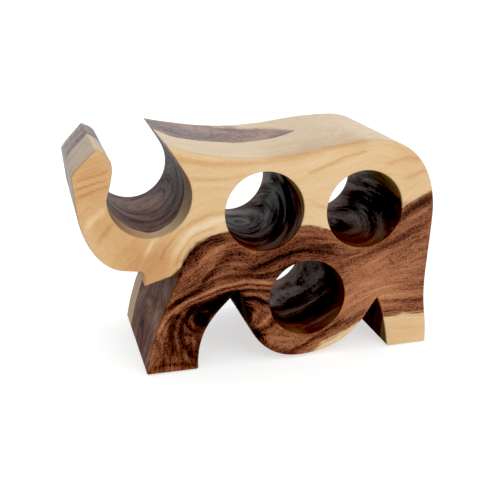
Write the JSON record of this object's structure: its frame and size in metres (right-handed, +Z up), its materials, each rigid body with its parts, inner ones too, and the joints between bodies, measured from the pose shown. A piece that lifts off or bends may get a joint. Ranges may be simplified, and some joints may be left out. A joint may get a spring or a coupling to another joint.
{
  "type": "wine bottle holder",
  "caption": "Elephant-shaped bottle holder carved from a block of two-tone hardwood, with round through holes and an open seat behind the raised trunk.",
  "frame": {"origin": "on the surface that the pads stand on, under the middle of the bounding box", "axes": "+X along the length from trunk to rump, +Y across the thickness from the shown side to the far side, +Z up"},
  "size_m": [0.4619, 0.2, 0.2965],
  "materials": {
    "oiled_hardwood": "two-tone solid tropical hardwood, pale sapwood over red-brown heartwood, sanded and oiled to a satin sheen",
    "brown_felt": "dense pressed felt, self-adhesive"
  },
  "bodies": {
    "root": {"carved_body": "oiled_hardwood", "front_foot_pad_near": "brown_felt", "front_foot_pad_far": "brown_felt", "rear_foot_pad_near": "brown_felt", "rear_foot_pad_far": "brown_felt"}
  },
  "joints": []
}
